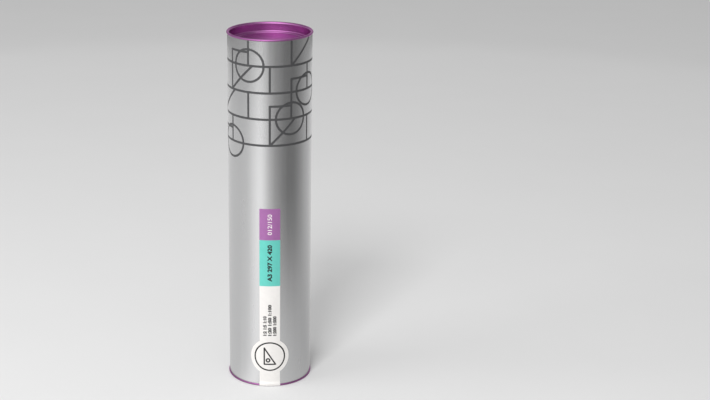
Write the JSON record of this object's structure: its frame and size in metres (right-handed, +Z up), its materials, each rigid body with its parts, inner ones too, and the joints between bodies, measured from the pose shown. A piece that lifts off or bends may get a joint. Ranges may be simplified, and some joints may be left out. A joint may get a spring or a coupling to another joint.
{
  "type": "drawing tube",
  "caption": "Rigid paperboard tube for rolled drawings, wrapped in silver paper, with a pressed metal cap pushed into each end and a strip of stickers down the front.",
  "frame": {"origin": "centre of the ring that the bottom cap's rim stands on", "axes": "+Z up the tube's axis, -Y the side with the stickers, +X to the right of someone who faces them"},
  "size_m": [0.0816, 0.0818, 0.347],
  "materials": {
    "liner_paper": "uncoated white paper",
    "kraft_board": "grey-brown wound board",
    "silver_paper": "satin metallised silver paper with grey line print",
    "purple_metal": "pressed sheet metal with clear purple lacquer",
    "violet_sticker": "coated paper, semi-matt",
    "mint_sticker": "coated paper, semi-matt",
    "white_sticker": "coated paper, semi-matt"
  },
  "bodies": {
    "bottom_cap": {"bottom_cap": "purple_metal"},
    "tube": {"inner_liner": "liner_paper", "board_ply_inner": "kraft_board", "board_ply_middle": "kraft_board", "board_ply_outer": "kraft_board", "outer_wrap": "silver_paper", "edition_sticker": "violet_sticker", "title_sticker": "mint_sticker", "address_sticker": "white_sticker", "round_seal": "white_sticker"},
    "top_cap": {"top_cap": "purple_metal"}
  },
  "joints": [
    {"name": "tube_pull_off", "type": "slide", "parent": "bottom_cap", "child": "tube", "axis": [0, 0, 1], "range_m": [0, 0.04]},
    {"name": "top_cap_pull_out", "type": "slide", "parent": "tube", "child": "top_cap", "axis": [0, 0, 1], "range_m": [0, 0.04]}
  ]
}
